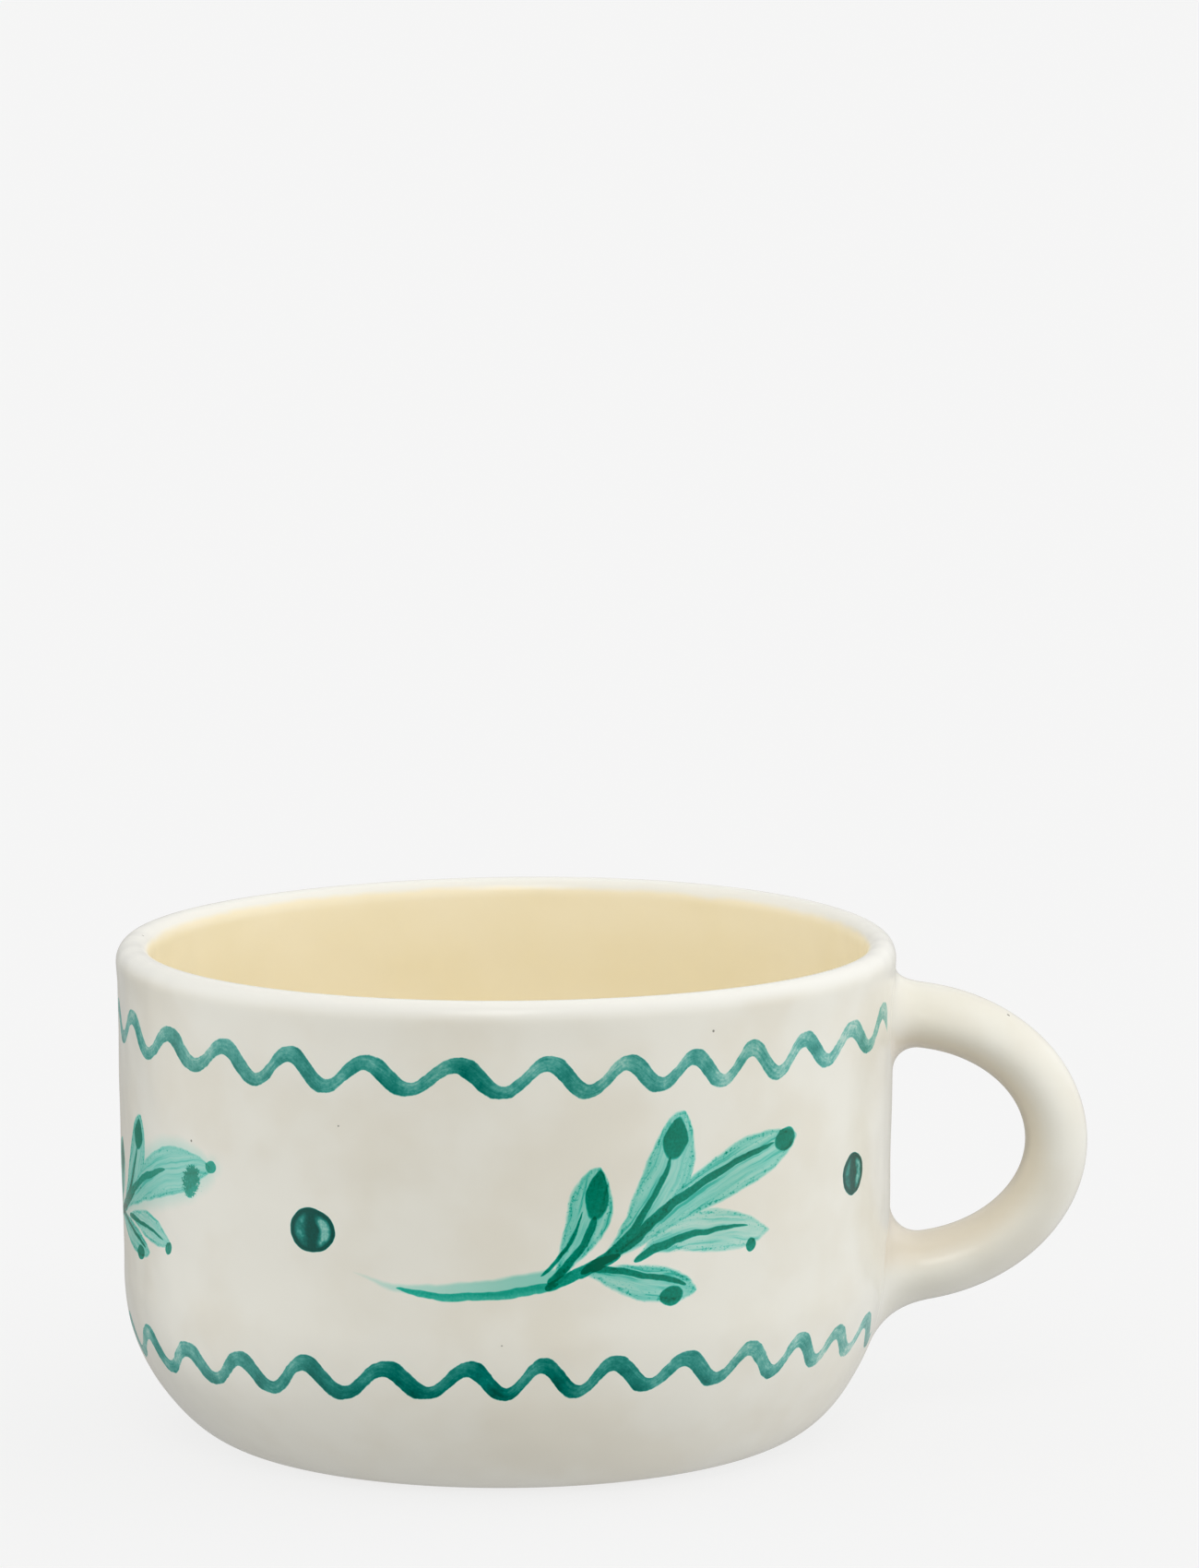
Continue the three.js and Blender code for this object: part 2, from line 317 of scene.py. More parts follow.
def wall_point(across, height, depth=0.0):
    """A point on the wall beside the handle: across is the way around from the handle's plane."""
    height = np.asarray(height, float)
    angle = np.asarray(across, float) / RIM_RADIUS + math.pi / 2
    radius = skin_radius(height) + outer_wobble(angle, height) - depth
    return np.stack([radius * np.sin(angle), -radius * np.cos(angle), height], axis=-1)


def strap_section(share):
    """Half width and half thickness of the strap at share 0 (upper root) to 1 (lower root)."""
    near_end = np.abs(2 * share - 1) ** 2
    swell = 1 + END_SWELL * near_end + LOWER_SWELL * share
    width = 1 + END_WIDENING * near_end
    return STRAP_HALF_WIDTH * width, STRAP_HALF_THICKNESS * swell


def strap_ring(share):
    """One ring of points around the strap, and the direction in which the strap runs there."""
    turn = share * math.pi
    lean = STRAP_LEAN * math.sin(5 * share + 0.5)
    right = RIM_RADIUS + EAR_REACH * math.sin(turn)
    middle = Vector((right, lean, LOWER_ROOT + EAR_RISE * (1 + math.cos(turn))))
    tangent = Vector((EAR_REACH * math.cos(turn), 0, -EAR_RISE * math.sin(turn))).normalized()
    out = Vector((-tangent.z, 0, tangent.x))
    half_width, half_thickness = strap_section(share)
    angle = np.linspace(0, 2 * math.pi, HANDLE_SIDES, endpoint=False)
    thick = np.cos(angle) * half_thickness
    wide = np.sin(angle) * half_width * (1 - OUTER_NARROWING * np.cos(angle))
    points = np.array(middle)[None, :] + thick[:, None] * np.array(out)[None, :]
    points[:, 1] += wide
    return points, np.array(tangent)


class Root:
    """One end of the strap, at its share of the ear: its height, blend and drop on the wall."""

    def __init__(self, share, height, blend, drop):
        self.share = share
        self.height = height
        self.blend = blend
        self.drop = drop
        self.facing = 1 if share < 0.5 else -1

    def footprint(self, scale, depth):
        """The outline of the blend on the wall, enlarged by scale and sunk by depth."""
        half_width, half_thickness = strap_section(self.share)
        angle = np.linspace(0, 2 * math.pi, HANDLE_SIDES, endpoint=False)
        upwards = self.facing * np.cos(angle)
        tall = (half_thickness + self.blend) * scale
        wide = (half_width + self.blend) * scale
        heights = self.height + upwards * tall
        heights = heights - self.drop * (upwards < 0) * np.cos(angle) ** 2 * scale
        return wall_point(np.sin(angle) * wide, heights, depth)

    def rings(self):
        """Rings that carry the strap's surface smoothly on to the wall, from the strap outwards."""
        ring, tangent = strap_ring(self.share)
        to_wall = -self.facing * tangent[None, :]
        foot = self.footprint(1.0, 0.0)
        spread = self.footprint(1.03, 0.0) - self.footprint(0.97, 0.0)
        spread /= np.linalg.norm(spread, axis=1, keepdims=True)
        reach = np.linalg.norm(foot - ring, axis=1, keepdims=True)
        rings = []
        for t in np.linspace(0, 1, BLEND_RINGS + 1)[1:]:
            start = (2 * t ** 3 - 3 * t ** 2 + 1) * ring
            leave = (t ** 3 - 2 * t ** 2 + t) * to_wall * reach * BLEND_PULL
            end = (3 * t ** 2 - 2 * t ** 3) * foot
            arrive = (t ** 3 - t ** 2) * spread * reach * BLEND_PULL
            rings.append(start + leave + end + arrive)
        rings.append(self.footprint(1.06, BLEND_SINK))
        return rings


def add_handle():
    """The strap with a blend at each end, closed inside the wall."""
    shares = np.linspace(STRAP_FIRST, STRAP_LAST, STRAP_STATIONS)
    strap = [strap_ring(share)[0] for share in shares]
    upper = Root(STRAP_FIRST, UPPER_BLEND_HEIGHT, UPPER_BLEND, 0.0).rings()
    lower = Root(STRAP_LAST, LOWER_BLEND_HEIGHT, LOWER_BLEND, LOWER_DROP).rings()
    rings = np.array(upper[::-1] + strap + lower)
    upper_end = wall_point(0, UPPER_ROOT, END_DEPTH)
    lower_end = wall_point(0, LOWER_ROOT, END_DEPTH)
    return solid_from_rings("handle_strap", rings, upper_end, lower_end)


# ---------------------------------------------------------------- shader arithmetic
class Field:
    """A number that varies over a surface. Arithmetic on it adds Math nodes to its material."""

    def __init__(self, socket):
        self.socket = socket

    def __add__(self, other):
        return calculate("ADD", self, other)

    def __sub__(self, other):
        return calculate("SUBTRACT", self, other)

    def __rsub__(self, other):
        return calculate("SUBTRACT", other, self)

    def __mul__(self, other):
        return calculate("MULTIPLY", self, other)

    def __truediv__(self, other):
        return calculate("DIVIDE", self, other)

    def __pow__(self, other):
        return calculate("POWER", self, other)

    def __neg__(self):
        return calculate("MULTIPLY", self, -1.0)

    __radd__ = __add__
    __rmul__ = __mul__

    def abs(self):
        return calculate("ABSOLUTE", self)

    def sqrt(self):
        return calculate("SQRT", self)

    def sin(self):
        return calculate("SINE", self)

    def cos(self):
        return calculate("COSINE", self)

    def exp(self):
        return calculate("EXPONENT", self)

    def floor(self):
        return calculate("FLOOR", self)

    def above(self, limit):
        """1 where the field is above the limit, 0 elsewhere."""
        return calculate("GREATER_THAN", self, limit)

    def clamped(self):
        """The field kept between 0 and 1."""
        return calculate("MINIMUM", calculate("MAXIMUM", self, 0.0), 1.0)

    def rise(self, low, high):
        """0 below low and 1 above high, smooth in between; the other way round if low is above high."""
        tree = self.socket.id_data
        node = tree.nodes.new("ShaderNodeMapRange")
        node.interpolation_type = "SMOOTHSTEP"
        tree.links.new(self.socket, node.inputs["Value"])
        node.inputs["From Min"].default_value = low
        node.inputs["From Max"].default_value = high
        return Field(node.outputs["Result"])


def feed(tree, socket, value):
    """Links a socket to a field, or sets it to a plain number."""
    if isinstance(value, Field):
        tree.links.new(value.socket, socket)
    else:
        socket.default_value = value


def calculate(operation, *values):
    """One Math node over fields and plain numbers."""
    tree = next(value.socket.id_data for value in values if isinstance(value, Field))
    node = tree.nodes.new("ShaderNodeMath")
    node.operation = operation
    for socket, value in zip(node.inputs, values):
        feed(tree, socket, value)
    return Field(node.outputs[0])


def most(*fields):
    """The largest of several fields at each point."""
    largest = fields[0]
    for field in fields[1:]:
        largest = calculate("MAXIMUM", largest, field)
    return largest


def total(fields):
    """The sum of several fields."""
    first, *others = fields
    for field in others:
        first = first + field
    return first


def separate(tree, socket):
    """The three parts of a vector or a colour, as fields."""
    node = tree.nodes.new("ShaderNodeSeparateXYZ")
    tree.links.new(socket, node.inputs[0])
    return [Field(output) for output in node.outputs]


def combine(tree, *values):
    """A vector socket made of three fields or plain numbers."""
    node = tree.nodes.new("ShaderNodeCombineXYZ")
    for socket, value in zip(node.inputs, values):
        feed(tree, socket, value)
    return node.outputs[0]


def noise_node(tree, place, size, detail=2.0, roughness=0.5):
    """A noise texture over a socket of places, whose blotches are about size across."""
    node = tree.nodes.new("ShaderNodeTexNoise")
    tree.links.new(place, node.inputs["Vector"])
    node.inputs["Scale"].default_value = 1 / size
    node.inputs["Detail"].default_value = detail
    node.inputs["Roughness"].default_value = roughness
    return node


def noise(tree, place, size, detail=2.0, roughness=0.5):
    """The noise texture's grey value as a field, between 0 and 1."""
    return Field(noise_node(tree, place, size, detail, roughness).outputs["Fac"])


def object_place(tree):
    """A socket of places on the surface, in millimetres."""
    coordinates = tree.nodes.new("ShaderNodeTexCoord")
    node = tree.nodes.new("ShaderNodeVectorMath")
    node.operation = "MULTIPLY"
    tree.links.new(coordinates.outputs["Object"], node.inputs[0])
    node.inputs[1].default_value = (1 / MM, 1 / MM, 1 / MM)
    return node.outputs[0]


# ---------------------------------------------------------------- brushwork
WALL_MM = RIM_RADIUS / MM
HANDLE_EDGE = math.radians(90)          # the laid-out wall starts and ends at the handle
HANDLE_ROOM = 13.5                      # degrees that the waves leave free on each side of the handle
WAVE_HIGH = math.radians(90 - HANDLE_ROOM) * WALL_MM
WAVE_LOW = math.radians(-270 + HANDLE_ROOM) * WALL_MM
WAVE_SWING = 1.9                        # how far a crest or trough lies off the wave's middle
UPPER_WAVE_UP = 62.7
LOWER_WAVE_UP = 17.9
SPRIG_TURN = math.radians(94.5) * WALL_MM       # from one sprig to the next
SPRIG_START = math.radians(60) * WALL_MM        # the front one's stretch of wall ends here
LONG_TIP = (46.6, 50.9)                 # the longest leaf's tip in the drawing of the sprig
LEFT_SQUEEZE = 0.28                     # the left sprig's height is divided by 1 plus this
SHAKE = 0.75                            # how far the brush trembles, from side to side
SWAY = 1.5                              # how far it drifts, from side to side
DRAWN_DOT = 3.5                         # the dot's radius in its drawing
# each dot's middle, along and up, and its radius
DOTS = [((-29.2, 40.0), 3.5), ((61.5, 43.0), 3.1), ((-224.8, 42.2), 3.4), ((-127.5, 40.2), 3.5)]
EMERALD = (1.0, 0.205, 0.255)           # how strongly each pigment takes out red, green and blue
TEAL = (1.0, 0.335, 0.355)
THICKEST = 9.5                          # the density at which the sprigs' paint stops getting darker


def cycle(along, length, start):
    """A slow swing's phase: start at the front, and one turn more for every length mm of wall."""
    return along * (2 * math.pi / length) + start


class Sheet:
    """The cup's wall laid out flat: along from the front towards the handle, and up, in millimetres."""

    def __init__(self, tree):
        self.tree = tree
        self.place = object_place(tree)
        x, y, self.up = separate(tree, self.place)
        angle = calculate("ARCTAN2", x, -y)
        angle = angle - angle.above(HANDLE_EDGE) * (2 * math.pi)
        self.along = angle * WALL_MM
        flat = combine(tree, self.along, self.up, 0.0)
        shake = noise_node(tree, flat, 3.2, 2.0)
        sway = noise_node(tree, flat, 14.0, 1.0)
        shake_x, shake_y, _ = separate(tree, shake.outputs["Color"])
        sway_x, sway_y, _ = separate(tree, sway.outputs["Color"])
        self.shaken_along = self.along + (shake_x - 0.5) * SHAKE + (sway_x - 0.5) * SWAY
        self.shaken_up = self.up + (shake_y - 0.5) * SHAKE + (sway_y - 0.5) * SWAY
        self.grain = noise(tree, flat, 0.42, 3.0, 0.65)
        self.blotches = noise(tree, flat, 2.6, 3.0, 0.6)
        self.pools = noise(tree, flat, 9.0, 1.0)


def follow(along, up, start, end, bend=0.0, skew=0.0):
    """Places beside a line from start to end, bowed by bend mm to its left.

    Gives how far along the line from 0 to 1, how far to its left in mm and how far off it in mm.
    A positive skew moves the deepest part of the bow towards the end.
    """
    run = Vector(end) - Vector(start)
    length = run.length
    run /= length
    across = along - start[0]
    rise = up - start[1]
    share = (across * run.x + rise * run.y) * (1 / length)
    side = rise * run.x - across * run.y
    inside = share.clamped()
    bow = inside * (1 - inside) * (4 * bend)
    if skew:
        bow = bow * (1 + skew * (inside * 2 - 1))
    side = side - bow
    beyond = (share - inside) * length
    return share, side, (side * side + beyond * beyond).sqrt()


def line_ink(share, off, widths, soft=0.16):
    """Ink of a thin stroke whose half width runs through three widths, with rounded ends."""
    first, middle, last = widths
    inside = share.clamped()
    slope = 4 * middle - 3 * first - last
    curve = 2 * first + 2 * last - 4 * middle
    width = first + inside * slope + inside * inside * curve
    ends = (1 - (inside * 2 - 1).abs() ** 8).clamped().sqrt()
    return (width * ends - off).rise(-soft * 0.4, soft)


def petal(share, off, width, fullness, roundness):
    """How deep a place lies inside a leaf shape, in mm; negative outside it.

    A fullness above 1 moves its widest part towards the tip; a small roundness makes its ends blunt.
    """
    trim = 0.1
    inside = share.clamped()
    half = (inside ** fullness * math.pi).sin().clamped() ** roundness * (width / 2 + trim)
    return half - trim - off


def drop_ink(along, up, centre, size, tilt, point=0.0):
    """Ink of a drop: size is its length and width in mm, and point makes its far end narrower."""
    direction = Vector((math.cos(tilt), math.sin(tilt)))
    across = along - centre[0]
    rise = up - centre[1]
    run = (across * direction.x + rise * direction.y) * (2 / size[0])
    side = (rise * direction.x - across * direction.y) * (2 / size[1])
    if point:
        side = side / (1 - point * run).clamped()
    return (1 - (run * run + side * side).sqrt()).rise(-0.02, 0.14)


# ---------------------------------------------------------------- the two waves
class Rhythm:
    """How the brush moved: crests at a pitch, hurried and slowed by two long swings.

    Each swing is its size in radians, its length in mm and its phase at the front.
    """

    def __init__(self, crest, pitch, first_swing, second_swing):
        self.crest = crest
        self.pitch = pitch
        self.swings = (first_swing, second_swing)

    def turn(self, along):
        """The wave's phase: a crest wherever it is a whole number of turns."""
        phase = (along - self.crest) * (2 * math.pi / self.pitch)
        for size, length, start in self.swings:
            phase = phase + cycle(along, length, start).sin() * size
        return phase


UPPER_RHYTHM = Rhythm(2.9, 11.97, (1.25, 140, -1.43), (0.55, 64, -2.9))
LOWER_RHYTHM = Rhythm(2.56, 11.66, (1.44, 180, -1.3), (0.3, 49, -0.64))


def wave_ink(sheet, height, rhythm, tone):
    """Density of one brushed wave line around the cup."""
    turn = rhythm.turn(sheet.along)
    falling = turn.sin()
    lilt = cycle(sheet.along, 37, 0.8).sin()
    wander = (sheet.shaken_up - sheet.up) * 0.45
    middle = turn.cos() * (lilt * 0.2 + WAVE_SWING) + height
    slope = falling * (-2 * math.pi / rhythm.pitch * WAVE_SWING)
    side = (sheet.up + wander - middle) / (1 + slope * slope).sqrt()
    half = 1.08 + falling * 0.24 + turn.cos() * 0.08 + (sheet.blotches - 0.5) * 0.6
    depth = half - side.abs()
    stroke = combine(sheet.tree, turn * 0.55, side * 2.6, rhythm.crest)
    hairs = noise(sheet.tree, stroke, 1.0, 3.0, 0.7)
    lower_side = (side * -1).rise(-0.5, 0.8)
    loaded = 0.78 + falling * 0.16 + lower_side * 0.18 + depth.rise(0.3, 0.0) * 0.12
    streaks = (hairs - 0.5) * 3.0 + (sheet.blotches - 0.5) * 4.5 + (sheet.grain - 0.5) * 2.5
    return depth.rise(-0.06, 0.14) * most(tone * loaded + streaks, tone * 0.35)


# ---------------------------------------------------------------- the three sprigs
class Sprig:
    """One drawing, in mm, that the three sprigs share, and what is drawn only in the left one."""

    def __init__(self, sheet):
        self.sheet = sheet
        number = ((SPRIG_START - sheet.along) / SPRIG_TURN).floor()
        self.wanted = number.above(-0.5) * (1 - number.above(2.5))
        self.left = number.above(0.5) * (1 - number.above(1.5))
        self.along = sheet.shaken_along + number * SPRIG_TURN
        # the left sprig, number 1, sits 4.5 mm lower than the front one and the back one 2 mm
        up = sheet.shaken_up + number * (8 - number * 3.5)
        self.up = (up - LONG_TIP[1]) * (1 + self.left * LEFT_SQUEEZE) + LONG_TIP[1]

    def leaf(self, start, end, bend, skew, width, fullness, roundness=0.75, bleed=0.0):
        """Density of a leaf's pale wash and its darker broken edge, with a bleed around it."""
        sheet = self.sheet
        share, side, off = follow(self.along, self.up, start, end, bend, skew)
        depth = petal(share, off, width, fullness, roundness)
        stroke = combine(sheet.tree, share * 2.6, side * 1.5, start[0] + bend)
        hairs = noise(sheet.tree, stroke, 1.0, 2.0, 0.6)
        wash = depth.rise(-0.15, 0.35)
        edge = depth.rise(0.2, 0.4) * depth.rise(0.9, 0.55)
        dashes = sheet.blotches.rise(0.45, 0.6) * sheet.grain.rise(0.4, 0.65)
        flecks = sheet.grain.rise(0.58, 0.68) * depth.rise(2.4, 0.4)
        streaks = hairs.rise(0.3, 0.8) * 0.9 + hairs.rise(0.57, 0.68) * 0.9
        halo = depth.rise(-3.2, 0.5) * bleed
        return wash * (0.7 + streaks + flecks * 2.2) + edge * (0.2 + dashes * 2.0) + halo

    def vein(self, start, end, bend, widths, skew=0.0):
        """Ink of a thin dark stroke."""
        share, _, off = follow(self.along, self.up, start, end, bend, skew)
        return line_ink(share, off, widths)

    def bud(self, centre, size, tilt, point=0.0, ragged=0.0):
        """Ink of a dark drop, with an edge that is ragged by so many mm."""
        along = self.along
        if ragged:
            along = along + (self.sheet.grain - 0.5) * ragged
        return drop_ink(along, self.up, centre, size, tilt, point)


def sprig_leaves(sprig):
    """Density of the pale leaves. In the left sprig one is wider and another, the level one, shorter."""
    left = sprig.left
    upright = sprig.leaf((5.4, 32.6), (13.4, 49.8), -1.4, -0.2, 6.9, 1.8, 0.7)
    tall = sprig.leaf((10.6, 34.6), (26.2, 57.0), -3.2, 0.0, 7.4, 2.0, 0.65)
    long = sprig.leaf((10.4, 34.4), LONG_TIP, 2.0, 1.0, 7.4 + left * 1.6, 2.2, 0.65, left * 0.4)
    level = sprig.leaf((18.0, 36.2), (41.0, 38.1), 2.2, -0.7, 6.4, 1.3) * (1 - left)
    short = sprig.leaf((17.5, 36.0), (36.0, 34.4), 1.4, -0.4, 5.4, 1.4) * left
    low = sprig.leaf((10.6, 34.8), (28.2, 31.2), 0.1, 0.0, 5.4, 1.35, 0.6)
    return most(upright * 1.2, tall * 1.05, long * (1 - left * 0.3), level * 0.62, short * 0.8, low)


def sprig_tail(sprig):
    """Density of the long pale start of the stem."""
    share, _, off = follow(sprig.along, sprig.up, (-22.6, 34.2), (9.0, 35.0), -2.5)
    return line_ink(share, off, (0.12, 1.15, 1.5), 0.5) * (0.3 + share.clamped() * 0.95)


def sprig_ribs(sprig):
    """Ink of the dark ribs in the leaves."""
    left = sprig.left
    return most(
        sprig.vein((10.4, 34.6), (41.8, 50.8), 1.7, (0.95, 0.72, 0.45), 1.0) * (1 - left),
        sprig.vein((10.4, 34.6), (35.0, 48.2), 1.2, (0.9, 0.75, 0.6), 0.6) * left * 0.75,
        sprig.vein((5.6, 33.3), (12.6, 42.8), -0.9, (0.6, 0.58, 0.66)),
        sprig.vein((4.6, 34.3), (10.5, 43.6), -1.1, (0.25, 0.3, 0.2)),
        sprig.vein((12.2, 35.6), (24.0, 50.4), -1.7, (0.75, 0.58, 0.42)),
        sprig.vein((15.6, 37.0), (23.4, 43.4), -0.5, (0.3, 0.34, 0.15)),
        sprig.vein((18.5, 36.3), (36.8, 39.1), 1.3, (0.72, 0.52, 0.2), -0.3) * (1 - left),
        sprig.vein((18.0, 36.1), (33.5, 34.8), 0.9, (0.6, 0.4, 0.2)) * left,
        sprig.vein((10.8, 35.3), (26.4, 32.2), 0.6, (0.65, 0.5, 0.42)),
    )


def sprig_knot(sprig):
    """Ink of the dark knot where the leaves meet."""
    return most(
        sprig.vein((5.2, 32.5), (11.6, 35.4), 0.0, (0.5, 0.85, 0.7)),
        sprig.vein((9.6, 34.2), (16.4, 37.2), 0.1, (0.7, 0.9, 0.4)),
    )


def sprig_buds(sprig):
    """Ink of the dark drops at the leaves' tips. The left sprig's long leaf has a feathered one."""
    left = sprig.left
    return most(
        sprig.bud((12.9, 45.9), (7.4, 4.0), 1.42, 0.55),
        sprig.bud((24.8, 53.0), (6.4, 3.9), 1.35, 0.5),
        sprig.bud((44.0, 50.8), (4.4, 3.4), 0.0, -0.1) * (1 - left),
        sprig.bud((41.9, 47.6), (6.4, 4.2), 1.3, ragged=5) * left * 0.8,
        sprig.bud(LONG_TIP, (2.6, 2.4), 0.0) * left * 0.7,
        sprig.bud((37.5, 36.3), (2.3, 1.9), 1.2) * (1 - left),
        sprig.bud((35.2, 33.6), (2.6, 2.0), 1.0) * left,
        sprig.bud((24.2, 30.7), (3.7, 2.8), 0.3),
    )


def sprig_ink(sheet):
    """Density of the three sprigs, each shaken a little differently."""
    sprig = Sprig(sheet)
    specks = (sheet.grain - 0.5) * 5 + (sheet.blotches - 0.5) * 2
    stem = sprig.vein((-15.8, 32.7), (7.2, 33.3), -1.9, (0.5, 0.62, 0.7), -0.2)
    ink = sprig_leaves(sprig) * 1.2 + sprig_tail(sprig)
    ink = ink + stem * (2.9 + specks * 0.5) + sprig_ribs(sprig) * (5.4 + specks)
    ink = ink + sprig_buds(sprig) * (5.4 + specks) + sprig_knot(sprig) * (4.8 + specks)
    ink = most(ink, 0.0)
    return sprig.wanted * (THICKEST - most(THICKEST - ink, 0.0))


# ---------------------------------------------------------------- the dots and all the paint
def dot_ink(sheet, centre, radius):
    """Density of one dot: a dark round spot with two paler crescents, the right one clearer."""
    across = (sheet.shaken_along - centre[0]) * (DRAWN_DOT / radius)
    rise = (sheet.shaken_up - centre[1]) * (DRAWN_DOT / radius)
    away = (across * across * 0.88 + rise * rise * 1.12).sqrt()
    spot = away.rise(DRAWN_DOT + 0.1, DRAWN_DOT - 0.1)
    ring = (1 - ((away - 1.9).abs() * 0.95) ** 2).clamped()
    sides = across.rise(0.3, 1.5) + across.rise(-0.5, -1.6) * 0.7
    crescents = ring * sides * (0.35 + sheet.blotches.rise(0.3, 0.6) * 0.9)
    return spot * (7.0 - crescents.clamped() * 5.6 + (sheet.grain - 0.5) * 3)


def paint(sheet):
    """Densities of the two pigments."""
    pools = (sheet.pools - 0.5) * 3.0
    upper_tone = 2.75 + cycle(sheet.along, 150, 0.5).cos() * 0.8 + pools
    lower_tone = 3.5 + cycle(sheet.along, 135, 0.35).cos() * 1.5 + pools
    lower_height = LOWER_WAVE_UP + cycle(sheet.along, 200, -0.5).cos() * 1.5
    upper = wave_ink(sheet, UPPER_WAVE_UP, UPPER_RHYTHM, upper_tone)
    lower = wave_ink(sheet, lower_height, LOWER_RHYTHM, lower_tone)
    dots = most(*(dot_ink(sheet, centre, radius) for centre, radius in DOTS))
    from_handle = calculate("MINIMUM", WAVE_HIGH - sheet.along, sheet.along - WAVE_LOW)
    return sprig_ink(sheet), most(upper, lower) * from_handle.rise(-0.2, 0.8) + dots


# ---------------------------------------------------------------- materials
WHITE = (0.84, 0.823, 0.737)
WHITE_THIN = (0.80, 0.768, 0.665)
# whitest along the lip: a thicker glaze there, with a painted highlight
WHITE_LIP_HIGHLIT = (0.86, 0.85, 0.79)
WHITE_WARM_SHADE = (0.79, 0.72, 0.60)         # painted warm shade on the inside of the handle's ear, partly where the glaze ran thin
CREAM = (0.925, 0.845, 0.64)
CREAM_THICK = (0.91, 0.825, 0.605)
CLAY_DARK = (0.62, 0.54, 0.42)
CLAY_PALE = (0.72, 0.65, 0.53)
SPECK = (0.06, 0.05, 0.035)
SPECK_SPACING = 7.5
SPECK_SHARE = 0.75                      # how much of the glaze's colour a speck takes over
WARM_SHADE_SHARE = 0.75                       # and the painted warm shade inside the handle
GLAZE_IOR = 1.45
WHITE_ROUGHNESS = 0.2
CREAM_ROUGHNESS = 0.22
CREAM_TOP = CUP_HEIGHT / MM - 1.0       # the cream pales upwards and is white from this height on
CREAM_FADE = 1.1


def new_material(name):
    """A material, its node tree and its shader."""
    material = bpy.data.materials.new(name)
    material.use_nodes = True
    return material, material.node_tree, material.node_tree.nodes["Principled BSDF"]


def mix_colours(tree, share, first, second):
    """The first colour where share is 0 and the second where it is 1, as a socket."""
    node = tree.nodes.new("ShaderNodeMix")
    node.data_type = "RGBA"
    tree.links.new(share.socket, node.inputs[0])
    for socket, colour in ((node.inputs[6], first), (node.inputs[7], second)):
        if isinstance(colour, tuple):
            socket.default_value = (*colour, 1)
        else:
            tree.links.new(colour, socket)
    return node.outputs[2]


def tinted(tree, colour, layers):
    """The colour seen through layers of pigment: (density, absorption) pairs."""
    seen = []
    for index, channel in enumerate(separate(tree, colour)):
        depth = total(density * absorption[index] for density, absorption in layers)
        seen.append(channel * (-depth).exp())
    return combine(tree, *seen)


def add_bump(tree, shader, height, distance):
    """Bends the shading as if the surface stood out by height times distance."""
    node = tree.nodes.new("ShaderNodeBump")
    node.inputs["Distance"].default_value = distance
    tree.links.new(height.socket, node.inputs["Height"])
    tree.links.new(node.outputs["Normal"], shader.inputs["Normal"])


def iron_specks(tree, place):
    """Rare tiny dark spots that burn through the glaze."""
    cells = tree.nodes.new("ShaderNodeTexVoronoi")
    tree.links.new(place, cells.inputs["Vector"])
    cells.inputs["Scale"].default_value = 1 / SPECK_SPACING
    chance, size, _ = separate(tree, cells.outputs["Color"])
    away = Field(cells.outputs["Distance"]) * SPECK_SPACING
    return (size * 0.22 + 0.1 - away).rise(-0.06, 0.06) * chance.above(0.72)


def glaze_surface(tree, shader, place, colour, roughness):
    """What every glaze here shares: gloss, a slightly rippled skin and specks."""
    specks = iron_specks(tree, place)
    speckled = mix_colours(tree, specks * SPECK_SHARE, colour, SPECK)
    tree.links.new(speckled, shader.inputs["Base Color"])
    patches = noise(tree, place, 16.0, 2.0)
    tree.links.new((roughness + (patches - 0.5) * 0.12).socket, shader.inputs["Roughness"])
    ripple = noise(tree, place, 9.0, 1.0)
    peel = noise(tree, place, 1.3, 2.0)
    add_bump(tree, shader, ripple * 0.3 + peel * 0.008 - specks * 0.02, 1 * MM)
    shader.inputs["IOR"].default_value = GLAZE_IOR


def white_colour(tree, place):
    """Milky white, clouded where the glaze is thinner, and whitest along the lip: a thicker glaze there and
    a painted highlight.
    """
    cloud = noise(tree, place, 17.0, 3.0, 0.5).rise(0.38, 0.68)
    _, _, up = separate(tree, place)
    # whiter towards the top of the lip: painted highlight, partly a thicker glaze
    lip = up.rise(CUP_HEIGHT / MM - 3.0, CUP_HEIGHT / MM - 0.8)
    return mix_colours(tree, lip, mix_colours(tree, cloud, WHITE, WHITE_THIN), WHITE_LIP_HIGHLIT)


def painted_white_glaze():
    """The white of the cup with all its paint."""
    material, tree, shader = new_material("painted_white_glaze")
    sheet = Sheet(tree)
    green, teal = paint(sheet)
    colour = tinted(tree, white_colour(tree, sheet.place), [(green, EMERALD), (teal, TEAL)])
    glaze_surface(tree, shader, sheet.place, colour, WHITE_ROUGHNESS)
    return material


def plain_white_glaze():
    """The white of the handle, with a painted warm shade on the inside of the ear, partly thinner glaze
    there.
    """
    material, tree, shader = new_material("plain_white_glaze")
    place = object_place(tree)
    right, _, up = separate(tree, place)
    out = (right - WALL_MM) * (MM / EAR_REACH)
    rise = (up - (UPPER_ROOT + LOWER_ROOT) / 2 / MM) * (MM / EAR_RISE)
    # the ear's inner side gets a painted warm shade
    inside = (out * out + rise * rise).sqrt().rise(1.0, 0.8)
    colour = mix_colours(tree, inside * WARM_SHADE_SHARE, white_colour(tree, place), WHITE_WARM_SHADE)
    glaze_surface(tree, shader, place, colour, WHITE_ROUGHNESS)
    return material


